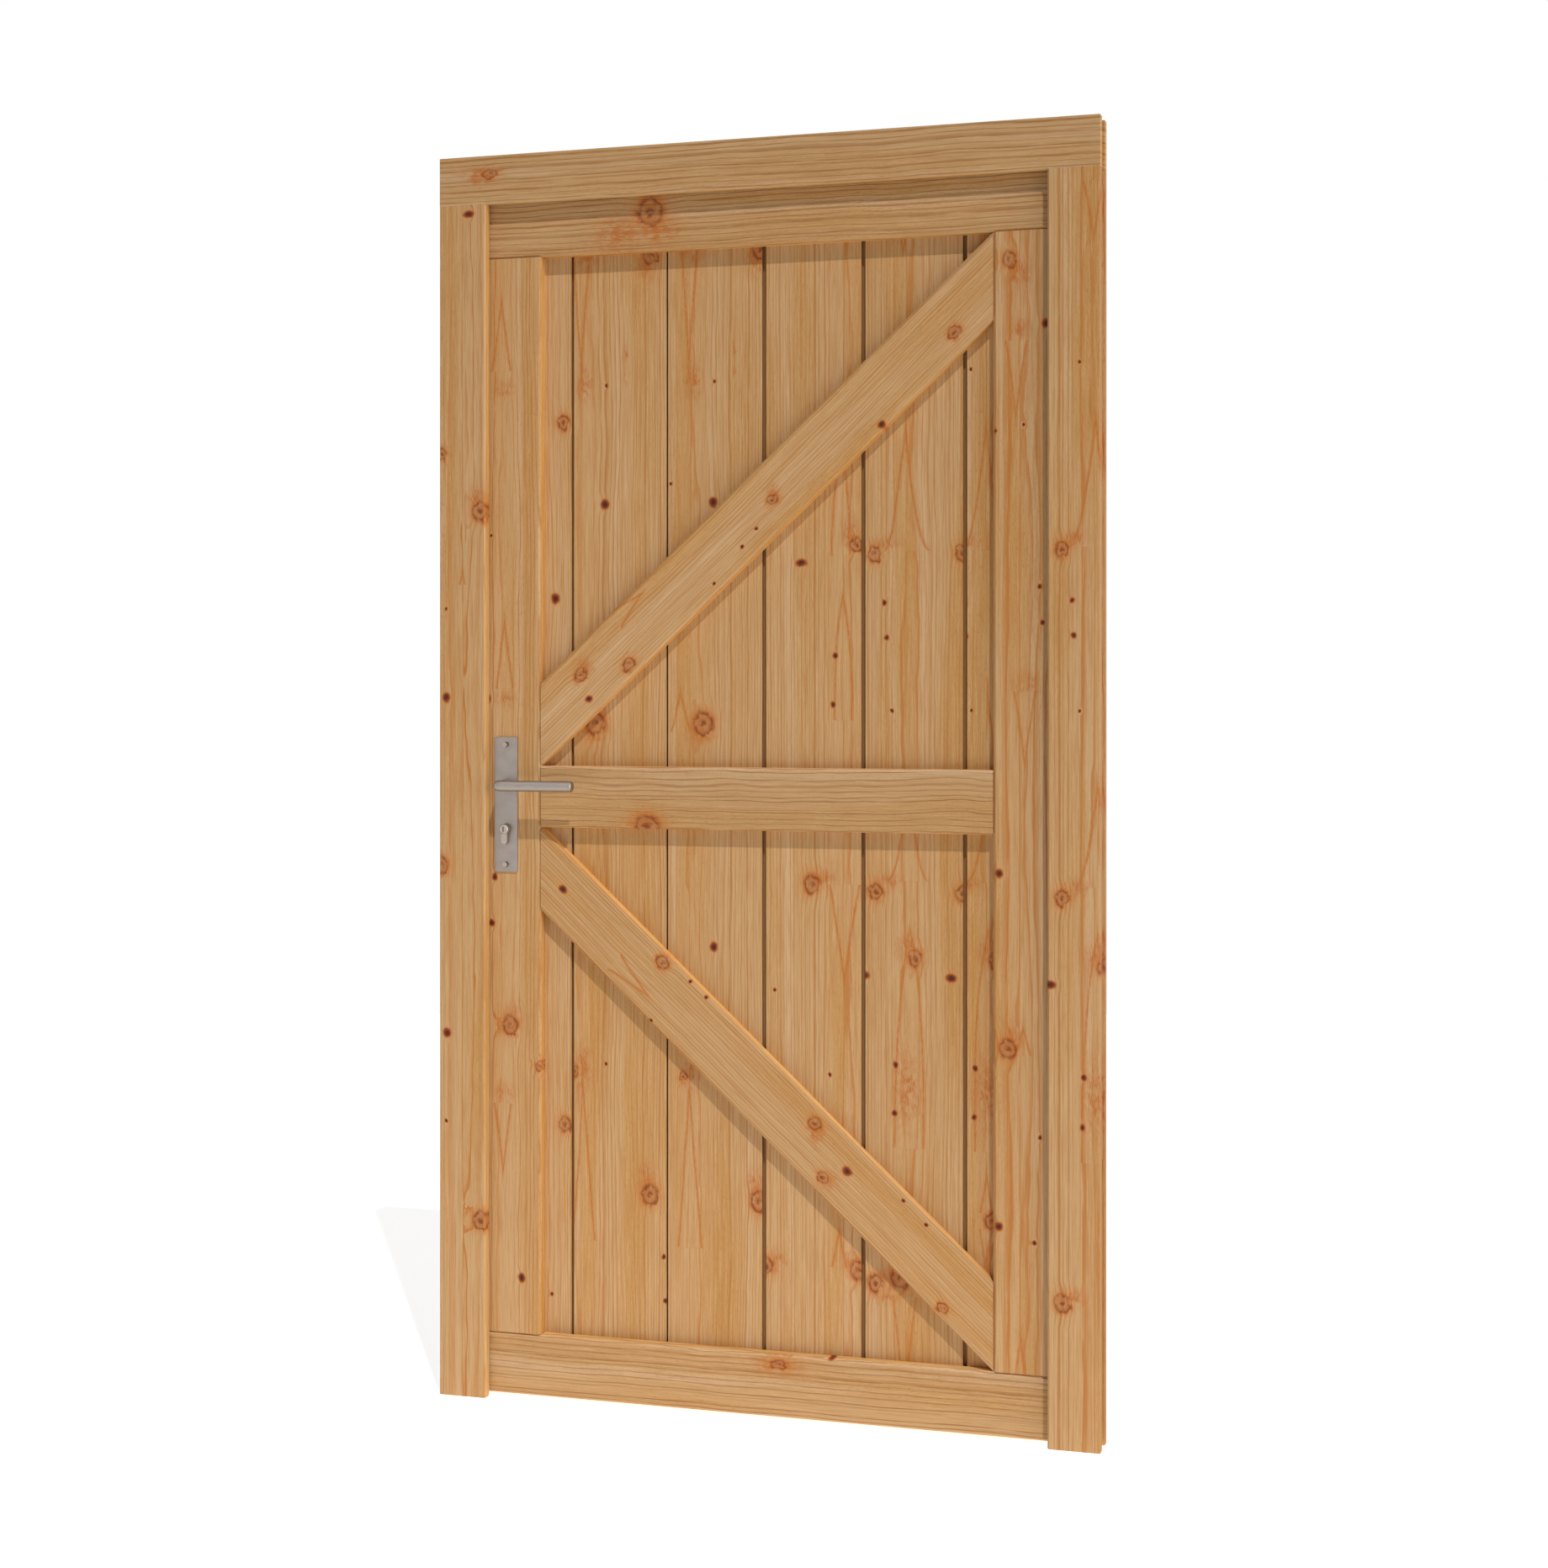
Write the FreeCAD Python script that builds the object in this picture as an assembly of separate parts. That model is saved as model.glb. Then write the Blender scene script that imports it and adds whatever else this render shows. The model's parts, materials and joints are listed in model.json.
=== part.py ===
import FreeCAD, Part
import math
import os

os.makedirs("parts", exist_ok=True)

# A framed, ledged and braced door hung in its timber frame, in millimetres.
# The origin lies on the floor of the wall groove in the hinge jamb, at floor level.
# X points out of that jamb, Y runs from the inside face to the outside face, Z is up.

# Door frame
frame_width = 1090.0
frame_height = 2030.0
frame_depth = 60.0
jamb_face = 81.0
head_face = 78.0
wall_groove_width = 26.0
wall_groove_depth = 12.0
stop_thickness = 16.0
rebate_width = 17.5
frame_arris = 3.0
outer_arris = 1.0

# Gaps round the closed leaf
hinge_gap = 6.0
lock_gap = 6.2
top_gap = 5.0
floor_gap = 5.0
stop_gap = 5.0

# Leaf
member_width = 100.0
member_thickness = 20.0
leaf_arris = 4.0
middle_rail_height = 983.5
board_thickness = 19.0
board_pitch = 163.5
joint_gaps = [4.5, 3.2, 7.0, 7.0, 7.0]
tongue_thickness = 6.0
tongue_engagement = 8.0
tongue_clearance = 0.3
groove_end_room = 1.5
board_bevel = 2.0

# Butt hinges
hinge_length = 89.0
hinge_plate_width = 34.0
hinge_plate_room = 0.6
hinge_plate_arris = 4.0
knuckle_count = 3
knuckle_radius = 5.5
knuckle_room = 0.5
knuckle_end_room = 0.4
pin_radius = 3.0
pin_fit = 0.05
bottom_hinge_height = 230.0
top_hinge_drop = 220.0

# Lock, plates and cylinder
backset = 40.0
spindle_height = 1002.0
lock_centres = 72.0
plate_width = 40.0
plate_length = 220.0
plate_thickness = 2.5
plate_drop = 32.0
plate_corner = 1.2
screw_centres = 196.0
screw_hole_radius = 2.4
screw_sink_radius = 4.4
collar_radius = 11.0
collar_height = 6.0
cylinder_radius = 8.5
cylinder_height = 33.0
cylinder_tail_width = 10.0
cylinder_proud = 8.0
cylinder_room = 0.3
plug_cap_radius = 7.9
plug_cap_height = 3.7
plug_cap_arris = 1.2
plug_stem_radius = 6.0
plug_stem_length = 16.0
plug_room = 0.3
keyway_width = 2.2
keyway_length = 8.5
keyway_depth = 3.0

# Lever and spindle
lever_radius = 8.75
lever_reach = 133.0
lever_standoff = 45.0
lever_bend_radius = 13.0
lever_tip_arris = 1.5
lever_bearing_room = 0.3
spindle_size = 8.0
spindle_room = 0.1
spindle_insert = 20.0
spindle_hole_radius = 11.0

# Faceplate, bolts and strike
faceplate_width = 20.0
faceplate_length = 235.0
faceplate_thickness = 3.0
strike_width = 24.0
strike_length = 180.0
strike_thickness = 2.0
latch_thickness = 10.0
latch_height = 20.0
dead_bolt_height = 34.0
bolt_length = 24.0
bolt_room = 0.3
strike_pocket_depth = 16.0
strike_hole_room = 2.0

# Levels that follow from the frame
frame_front = -frame_depth / 2.0
frame_back = frame_front + frame_depth
hinge_side = wall_groove_depth
lock_side = hinge_side - frame_width
jamb_height = frame_height - head_face
groove_front = -wall_groove_width / 2.0
groove_back = wall_groove_width / 2.0
hinge_rebate = hinge_side - jamb_face + rebate_width
lock_rebate = lock_side + jamb_face - rebate_width
rebate_front = frame_front + stop_thickness

# Levels that follow from the leaf
leaf_right = hinge_rebate - hinge_gap
leaf_left = lock_rebate + lock_gap
leaf_bottom = floor_gap
leaf_top = jamb_height + rebate_width - top_gap
leaf_front = rebate_front + stop_gap
board_front = leaf_front + member_thickness
leaf_back = board_front + board_thickness
leaf_middle = (leaf_front + leaf_back) / 2.0
panel_left = leaf_left + member_width
panel_right = leaf_right - member_width
bottom_rail_top = leaf_bottom + member_width
top_rail_bottom = leaf_top - member_width
middle_rail_bottom = middle_rail_height - member_width / 2.0
middle_rail_top = middle_rail_bottom + member_width

# Axes of the moving pieces
pin_x = leaf_right + hinge_gap / 2.0
pin_y = max(frame_back, leaf_back) + knuckle_radius + knuckle_room
spindle_x = leaf_left + backset
cylinder_z = spindle_height - lock_centres


def block(x_low, x_high, y_low, y_high, z_low, z_high):
    corner = FreeCAD.Vector(x_low, y_low, z_low)
    return Part.makeBox(x_high - x_low, y_high - y_low, z_high - z_low, corner)


def prism(points, run):
    corners = [FreeCAD.Vector(*point) for point in points]
    outline = Part.makePolygon(corners + corners[:1])
    return Part.Face(outline).extrude(FreeCAD.Vector(*run))


def rod(start, direction, radius, length):
    return Part.makeCylinder(radius, length, FreeCAD.Vector(*start), FreeCAD.Vector(*direction))


def keep(name, shape):
    shape.removeSplitter().exportStep("parts/" + name + ".step")


# Frame stock: stop at the front, rebate behind it, wall groove in the outer side.
def jamb_section():
    rebate_face = jamb_face - rebate_width
    return [
        (outer_arris, 0.0),
        (jamb_face - frame_arris, 0.0),
        (jamb_face, frame_arris),
        (jamb_face, stop_thickness),
        (rebate_face, stop_thickness),
        (rebate_face, frame_depth),
        (outer_arris, frame_depth),
        (0.0, frame_depth - outer_arris),
        (0.0, groove_back - frame_front),
        (wall_groove_depth, groove_back - frame_front),
        (wall_groove_depth, groove_front - frame_front),
        (0.0, groove_front - frame_front),
        (0.0, outer_arris),
    ]


def make_jamb(outer_x, inward):
    section = [
        (outer_x + inward * inset, frame_front + depth, 0.0)
        for inset, depth in jamb_section()
    ]
    return prism(section, (0.0, 0.0, jamb_height))


# The head lies over both jambs, so its rebate and arris stop between them.
def make_head():
    head = block(lock_side, hinge_side, frame_front, frame_back, jamb_height, frame_height)
    groove_floor = frame_height - wall_groove_depth
    head = head.cut(block(lock_side, hinge_side, groove_front, groove_back, groove_floor, frame_height))
    lock_groove = lock_side + wall_groove_depth
    head = head.cut(block(lock_side, lock_groove, groove_front, groove_back, jamb_height, frame_height))
    hinge_groove = hinge_side - wall_groove_depth
    head = head.cut(block(hinge_groove, hinge_side, groove_front, groove_back, jamb_height, frame_height))
    rebate_top = jamb_height + rebate_width
    head = head.cut(block(lock_rebate, hinge_rebate, rebate_front, frame_back, jamb_height, rebate_top))
    lock_face = lock_side + jamb_face
    arris = [
        (lock_face, frame_front, jamb_height),
        (lock_face, frame_front + frame_arris, jamb_height),
        (lock_face, frame_front, jamb_height + frame_arris),
    ]
    return head.cut(prism(arris, (frame_width - 2.0 * jamb_face, 0.0, 0.0)))


# Leaf members: planed boards with both front arrises taken off.
def member_section():
    return [
        (leaf_arris, 0.0),
        (member_width - leaf_arris, 0.0),
        (member_width, leaf_arris),
        (member_width, member_thickness),
        (0.0, member_thickness),
        (0.0, leaf_arris),
    ]


def make_stile(left):
    section = [(left + across, leaf_front + depth, bottom_rail_top) for across, depth in member_section()]
    return prism(section, (0.0, 0.0, top_rail_bottom - bottom_rail_top))


def make_rail(left, right, bottom):
    section = [(left, leaf_front + depth, bottom + across) for across, depth in member_section()]
    return prism(section, (right - left, 0.0, 0.0))


# A brace fills its panel from the corner at the lock stile to the far corner at the hinge stile.
def make_brace(near_z, far_z):
    reach = panel_right - panel_left
    rise = abs(far_z - near_z)
    up = 1.0 if far_z > near_z else -1.0
    slope = math.atan2(rise, reach) - math.asin(member_width / math.hypot(rise, reach))
    along_x = math.cos(slope)
    along_z = up * math.sin(slope)
    across_x = -math.sin(slope)
    across_z = up * math.cos(slope)
    spare = member_width
    start_x = panel_left - spare * along_x
    start_z = near_z - spare * along_z
    section = [
        (start_x + across * across_x, leaf_front + depth, start_z + across * across_z)
        for across, depth in member_section()
    ]
    length = math.hypot(rise, reach) + 2.0 * spare
    stock = prism(section, (length * along_x, 0.0, length * along_z))
    low_z = min(near_z, far_z)
    panel = block(panel_left, panel_right, leaf_front, board_front, low_z, low_z + rise)
    return stock.common(panel)


# Boards: tongue on the hinge side, groove on the lock side, bevelled on the outside face.
def board_edges():
    middle = (leaf_left + leaf_right) / 2.0
    joints = len(joint_gaps)
    centres = [middle + board_pitch * (index - (joints - 1) / 2.0) for index in range(joints)]
    lefts = [leaf_left] + [centre + gap / 2.0 for centre, gap in zip(centres, joint_gaps)]
    rights = [centre - gap / 2.0 for centre, gap in zip(centres, joint_gaps)] + [leaf_right]
    return list(zip(lefts, rights))


def make_board(index):
    left, right = board_edges()[index]
    tongue_front = board_front + (board_thickness - tongue_thickness) / 2.0
    tongue_back = tongue_front + tongue_thickness
    bevel_front = leaf_back - board_bevel
    section = [(left, board_front), (right, board_front)]
    if index < len(joint_gaps):
        tip = right + joint_gaps[index] + tongue_engagement
        section += [(right, tongue_front), (tip, tongue_front), (tip, tongue_back), (right, tongue_back)]
    section += [
        (right, bevel_front),
        (right - board_bevel, leaf_back),
        (left + board_bevel, leaf_back),
        (left, bevel_front),
    ]
    if index > 0:
        floor = left + tongue_engagement + groove_end_room
        near = tongue_back + tongue_clearance
        far = tongue_front - tongue_clearance
        section += [(left, near), (floor, near), (floor, far), (left, far)]
    corners = [(x, y, leaf_bottom) for x, y in section]
    return prism(corners, (0.0, 0.0, leaf_top - leaf_bottom))


# Profile cylinder: a round over a narrower tail with a round end.
def profile_bar(room, y_low, y_high):
    tail_radius = cylinder_tail_width / 2.0
    tail_z = cylinder_z + cylinder_radius - cylinder_height + tail_radius
    run = y_high - y_low
    half = tail_radius + room
    round_part = rod((spindle_x, y_low, cylinder_z), (0, 1, 0), cylinder_radius + room, run)
    tail = block(spindle_x - half, spindle_x + half, y_low, y_high, tail_z, cylinder_z)
    tail_end = rod((spindle_x, y_low, tail_z), (0, 1, 0), half, run)
    return round_part.fuse([tail, tail_end])


# Heights of the lock's edge fittings, centred between spindle and cylinder.
faceplate_z = spindle_height - lock_centres / 2.0
dead_bolt_z = cylinder_z - cylinder_height / 2.0


def edge_block(x_low, x_high, width, centre_z, height):
    half = height / 2.0
    y_low = leaf_middle - width / 2.0
    return block(x_low, x_high, y_low, y_low + width, centre_z - half, centre_z + half)


def bolt_block(x_low, x_high, room, centre_z, height):
    return edge_block(x_low, x_high, latch_thickness + 2.0 * room, centre_z, height + 2.0 * room)


# Room in the lock stile and the first board for spindle, cylinder, faceplate and bolts.
def cut_for_lock(piece):
    hole = rod((spindle_x, leaf_front, spindle_height), (0, 1, 0), spindle_hole_radius, leaf_back - leaf_front)
    seat_end = leaf_left + faceplate_thickness
    seat = edge_block(leaf_left, seat_end, faceplate_width, faceplate_z, faceplate_length)
    mortise_end = leaf_left + bolt_length + bolt_room
    latch_mortise = bolt_block(leaf_left, mortise_end, bolt_room, spindle_height, latch_height)
    dead_mortise = bolt_block(leaf_left, mortise_end, bolt_room, dead_bolt_z, dead_bolt_height)
    profile = profile_bar(cylinder_room, leaf_front, leaf_back)
    return piece.cut([hole, seat, latch_mortise, dead_mortise, profile])


def make_faceplate():
    seat_end = leaf_left + faceplate_thickness
    plate = edge_block(leaf_left, seat_end, faceplate_width, faceplate_z, faceplate_length)
    latch_hole = bolt_block(leaf_left, seat_end, bolt_room, spindle_height, latch_height)
    dead_hole = bolt_block(leaf_left, seat_end, bolt_room, dead_bolt_z, dead_bolt_height)
    return plate.cut([latch_hole, dead_hole])


# The strike lies flush in the lock jamb, with pockets behind its two holes.
def strike_blocks(x_low, x_high):
    return [
        bolt_block(x_low, x_high, strike_hole_room, spindle_height, latch_height),
        bolt_block(x_low, x_high, strike_hole_room, dead_bolt_z, dead_bolt_height),
    ]


def strike_seat():
    return edge_block(lock_rebate - strike_thickness, lock_rebate, strike_width, faceplate_z, strike_length)


def make_strike():
    return strike_seat().cut(strike_blocks(lock_rebate - strike_thickness, lock_rebate))


def make_lock_jamb():
    pockets = strike_blocks(lock_rebate - strike_pocket_depth, lock_rebate)
    return make_jamb(lock_side, 1.0).cut([strike_seat()] + pockets)


# Lever furniture on one face of the leaf: outward is -1 inside and +1 outside.
def make_plate(face_y, outward):
    centre_z = spindle_height - plate_drop
    low = min(face_y, face_y + outward * plate_thickness)
    half_width = plate_width / 2.0
    half_length = plate_length / 2.0
    plate = block(
        spindle_x - half_width,
        spindle_x + half_width,
        low,
        low + plate_thickness,
        centre_z - half_length,
        centre_z + half_length,
    )
    corners = [edge for edge in plate.Edges if edge.BoundBox.YLength > plate_thickness / 2.0]
    plate = plate.makeChamfer(plate_corner, corners)
    way = (0, outward, 0)
    reach = plate_thickness + collar_height
    axis_start = (spindle_x, face_y, spindle_height)
    plate = plate.fuse(rod(axis_start, way, collar_radius, reach))
    bores = [rod(axis_start, way, lever_radius + lever_bearing_room, reach)]
    bores.append(profile_bar(cylinder_room, low, low + plate_thickness))
    lead = FreeCAD.Vector(*way)
    for side in (-1.0, 1.0):
        seat = FreeCAD.Vector(spindle_x, face_y, centre_z + side * screw_centres / 2.0)
        bores.append(Part.makeCone(screw_hole_radius, screw_sink_radius, plate_thickness, seat, lead))
    return plate.cut(bores)


# The lever is a round bar: a neck out of the plate, a quarter bend and a level grip.
def make_lever(face_y, outward):
    bar_y = face_y + outward * lever_standoff
    bend_y = bar_y - outward * lever_bend_radius
    bend_x = spindle_x + lever_bend_radius
    way = FreeCAD.Vector(0, outward, 0)
    neck_length = lever_standoff - lever_bend_radius
    neck = rod((spindle_x, face_y, spindle_height), way, lever_radius, neck_length)
    bend_start = FreeCAD.Vector(spindle_x, bend_y, spindle_height)
    ring = Part.Wire([Part.makeCircle(lever_radius, bend_start, way)])
    bend_centre = FreeCAD.Vector(bend_x, bend_y, spindle_height)
    bend = Part.Face(ring).revolve(bend_centre, FreeCAD.Vector(0, 0, -outward), 90.0)
    grip_length = lever_reach - lever_bend_radius
    grip = rod((bend_x, bar_y, spindle_height), (1, 0, 0), lever_radius, grip_length)
    tip = max(grip.Edges, key=lambda edge: edge.CenterOfMass.x)
    grip = grip.makeChamfer(lever_tip_arris, [tip])
    lever = neck.fuse([bend, grip])
    half = spindle_size / 2.0 + spindle_room
    socket_low = min(face_y, face_y + outward * spindle_insert)
    socket = block(
        spindle_x - half,
        spindle_x + half,
        socket_low,
        socket_low + spindle_insert,
        spindle_height - half,
        spindle_height + half,
    )
    return lever.cut(socket)


def make_spindle():
    half = spindle_size / 2.0
    return block(
        spindle_x - half,
        spindle_x + half,
        leaf_front - spindle_insert,
        leaf_back + spindle_insert,
        spindle_height - half,
        spindle_height + half,
    )


def make_cylinder():
    proud = plate_thickness + cylinder_proud
    front = leaf_front - proud
    back = leaf_back + proud
    depth = plug_stem_length + plug_room
    bore_radius = plug_stem_radius + plug_room
    front_bore = rod((spindle_x, front, cylinder_z), (0, 1, 0), bore_radius, depth)
    back_bore = rod((spindle_x, back, cylinder_z), (0, -1, 0), bore_radius, depth)
    return profile_bar(0.0, front, back).cut([front_bore, back_bore])


def make_plug(face_y, outward):
    way = (0, outward, 0)
    seat_y = face_y + outward * (plate_thickness + cylinder_proud)
    cap_y = seat_y + outward * plug_room
    cap = rod((spindle_x, cap_y, cylinder_z), way, plug_cap_radius, plug_cap_height)
    end_y = cap_y + outward * plug_cap_height
    rim = max(cap.Edges, key=lambda edge: outward * edge.CenterOfMass.y)
    cap = cap.makeChamfer(plug_cap_arris, [rim])
    stem_y = seat_y - outward * plug_stem_length
    stem = rod((spindle_x, stem_y, cylinder_z), way, plug_stem_radius, plug_stem_length + plug_room)
    slot_low = min(end_y, end_y - outward * keyway_depth)
    keyway = block(
        spindle_x - keyway_width / 2.0,
        spindle_x + keyway_width / 2.0,
        slot_low,
        slot_low + keyway_depth,
        cylinder_z - keyway_length / 2.0,
        cylinder_z + keyway_length / 2.0,
    )
    return cap.fuse(stem).cut(keyway)


# Butt hinges: two plates in the gap beside the leaf, knuckles in turn round one pin.
hinge_levels = {
    "bottom": bottom_hinge_height,
    "middle": (bottom_hinge_height + leaf_top - top_hinge_drop) / 2.0,
    "top": leaf_top - top_hinge_drop,
}
knuckle_length = hinge_length / knuckle_count
hinge_plate_thickness = (hinge_gap - hinge_plate_room) / 2.0


def make_hinge_leaf(plate_low, first_knuckle, centre_z):
    low_z = centre_z - hinge_length / 2.0
    plate_front = min(frame_back, leaf_back) - hinge_plate_width
    plate_high = plate_low + hinge_plate_thickness
    leaf = block(plate_low, plate_high, plate_front, pin_y, low_z, low_z + hinge_length)
    across = [edge for edge in leaf.Edges if edge.BoundBox.XLength > hinge_plate_thickness / 2.0]
    corners = [edge for edge in across if edge.CenterOfMass.y < leaf.CenterOfMass.y]
    leaf = leaf.makeChamfer(hinge_plate_arris, corners)
    own = []
    others = []
    for index in range(knuckle_count):
        bottom = low_z + index * knuckle_length
        if index % 2 == first_knuckle:
            shorter = knuckle_length - 2.0 * knuckle_end_room
            start = (pin_x, pin_y, bottom + knuckle_end_room)
            own.append(rod(start, (0, 0, 1), knuckle_radius, shorter))
        else:
            others.append(rod((pin_x, pin_y, bottom), (0, 0, 1), knuckle_radius + knuckle_room, knuckle_length))
    leaf = leaf.cut(others).fuse(own)
    return leaf.cut(rod((pin_x, pin_y, low_z), (0, 0, 1), pin_radius + pin_fit, hinge_length))


# A fixed pin, riveted flush with the outer knuckles.
def make_pin(centre_z):
    low_z = centre_z - hinge_length / 2.0 + knuckle_end_room
    length = hinge_length - 2.0 * knuckle_end_room
    return rod((pin_x, pin_y, low_z), (0, 0, 1), pin_radius, length)


keep("head", make_head())
keep("lock_jamb", make_lock_jamb())
keep("hinge_jamb", make_jamb(hinge_side, -1.0))
keep("strike_plate", make_strike())

keep("lock_stile", cut_for_lock(make_stile(leaf_left)))
keep("hinge_stile", make_stile(panel_right))
keep("top_rail", make_rail(leaf_left, leaf_right, top_rail_bottom))
keep("middle_rail", make_rail(panel_left, panel_right, middle_rail_bottom))
keep("bottom_rail", make_rail(leaf_left, leaf_right, leaf_bottom))
keep("upper_brace", make_brace(middle_rail_top, top_rail_bottom))
keep("lower_brace", make_brace(middle_rail_bottom, bottom_rail_top))

keep("board_1", cut_for_lock(make_board(0)))
for number in range(2, len(joint_gaps) + 2):
    keep("board_" + str(number), make_board(number - 1))

keep("lock_faceplate", make_faceplate())
bolt_end = leaf_left + bolt_length
keep("latch_bolt", bolt_block(leaf_left, bolt_end, 0.0, spindle_height, latch_height))
keep("dead_bolt", bolt_block(leaf_left, bolt_end, 0.0, dead_bolt_z, dead_bolt_height))
keep("inner_plate", make_plate(leaf_front, -1.0))
keep("outer_plate", make_plate(leaf_back, 1.0))
keep("inner_lever", make_lever(leaf_front, -1.0))
keep("outer_lever", make_lever(leaf_back, 1.0))
keep("spindle", make_spindle())
keep("lock_cylinder", make_cylinder())
keep("inner_plug", make_plug(leaf_front, -1.0))
keep("outer_plug", make_plug(leaf_back, 1.0))

for place, level in hinge_levels.items():
    keep(place + "_hinge_frame_leaf", make_hinge_leaf(hinge_rebate - hinge_plate_thickness, 0, level))
    keep(place + "_hinge_door_leaf", make_hinge_leaf(leaf_right, 1, level))
    keep(place + "_hinge_pin", make_pin(level))
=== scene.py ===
import json
import math
import bpy
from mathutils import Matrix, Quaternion, Vector


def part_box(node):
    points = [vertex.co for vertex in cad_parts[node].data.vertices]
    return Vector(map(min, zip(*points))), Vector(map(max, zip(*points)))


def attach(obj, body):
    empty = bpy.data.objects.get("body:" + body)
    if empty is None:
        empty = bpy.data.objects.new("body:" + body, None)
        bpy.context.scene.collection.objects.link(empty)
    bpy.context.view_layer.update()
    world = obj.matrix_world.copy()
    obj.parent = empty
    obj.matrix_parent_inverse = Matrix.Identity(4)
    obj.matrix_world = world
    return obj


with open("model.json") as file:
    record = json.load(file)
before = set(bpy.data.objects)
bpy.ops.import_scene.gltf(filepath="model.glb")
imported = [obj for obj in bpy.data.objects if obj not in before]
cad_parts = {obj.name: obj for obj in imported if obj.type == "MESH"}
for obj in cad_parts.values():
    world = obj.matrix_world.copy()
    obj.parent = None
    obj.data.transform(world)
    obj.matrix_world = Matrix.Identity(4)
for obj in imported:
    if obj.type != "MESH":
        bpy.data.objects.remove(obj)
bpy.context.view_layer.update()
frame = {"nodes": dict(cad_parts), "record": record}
print("frame loaded,", len(frame["nodes"]), "nodes")


# small helpers for shader trees: a value is a number, a tuple or another node's output

def plug(tree, socket, value):
    if isinstance(value, bpy.types.NodeSocket):
        tree.links.new(value, socket)
    else:
        socket.default_value = value


def mathNode(tree, operation, *values):
    node = tree.nodes.new("ShaderNodeMath")
    node.operation = operation
    for socket, value in zip(node.inputs, values):
        plug(tree, socket, value)
    return node.outputs[0]


def vectorNode(tree, operation, *values):
    node = tree.nodes.new("ShaderNodeVectorMath")
    node.operation = operation
    for socket, value in zip(node.inputs, values):
        plug(tree, socket, value)
    return node.outputs["Value"] if operation in ("DOT_PRODUCT", "LENGTH") else node.outputs["Vector"]


def noiseNode(tree, place, detail, roughness=0.5, signed=False):
    node = tree.nodes.new("ShaderNodeTexNoise")
    node.normalize = not signed  # signed noise swings about zero
    node.inputs["Scale"].default_value = 1.0
    node.inputs["Detail"].default_value = detail
    node.inputs["Roughness"].default_value = roughness
    tree.links.new(place, node.inputs["Vector"])
    return node.outputs["Fac"]


seedSteps = (3.17, 1.31, 2.23)  # how far one seed moves a pattern on


def stretched(tree, place, scale, seed):
    return vectorNode(tree, "MULTIPLY_ADD", place, scale, tuple(seed * step for step in seedSteps))


def rangeNode(tree, value, low, high, newLow=0.0, newHigh=1.0):
    node = tree.nodes.new("ShaderNodeMapRange")
    node.interpolation_type = "SMOOTHSTEP"
    plug(tree, node.inputs["Value"], value)
    for name, number in zip(("From Min", "From Max", "To Min", "To Max"), (low, high, newLow, newHigh)):
        node.inputs[name].default_value = number
    return node.outputs["Result"]


def rampNode(tree, value, stops):
    node = tree.nodes.new("ShaderNodeValToRGB")
    plug(tree, node.inputs["Fac"], value)
    marks = node.color_ramp.elements
    while len(marks) < len(stops):
        marks.new(1.0)
    for mark, (position, colour) in zip(marks, stops):
        mark.position = position
        mark.color = colour
    return node


def mixNode(tree, amount, first, second, blend="MIX"):
    node = tree.nodes.new("ShaderNodeMix")
    node.data_type = "RGBA"
    node.blend_type = blend
    plug(tree, node.inputs[0], amount)
    plug(tree, node.inputs[6], first)
    plug(tree, node.inputs[7], second)
    return node.outputs[2]


def splitNode(tree, vector):
    node = tree.nodes.new("ShaderNodeSeparateXYZ")
    tree.links.new(vector, node.inputs[0])
    return node.outputs


def objectPlace(tree, turn=0.0, corner=(0.0, 0.0, 0.0)):
    coordinates = tree.nodes.new("ShaderNodeTexCoord")
    mapping = tree.nodes.new("ShaderNodeMapping")
    tree.links.new(coordinates.outputs["Object"], mapping.inputs["Vector"])
    angle = math.radians(turn)
    cosine, sine = math.cos(angle), math.sin(angle)
    x, y, z = corner  # the pattern's origin
    mapping.inputs["Rotation"].default_value = (0.0, angle, 0.0)
    mapping.inputs["Location"].default_value = (-(x * cosine + z * sine), -y, x * sine - z * cosine)
    return mapping.outputs["Vector"]


def addBump(tree, shader, height, strength, depth):
    bump = tree.nodes.new("ShaderNodeBump")
    bump.inputs["Strength"].default_value = strength
    bump.inputs["Distance"].default_value = depth
    tree.links.new(height, bump.inputs["Height"])
    tree.links.new(bump.outputs["Normal"], shader.inputs["Normal"])


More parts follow.
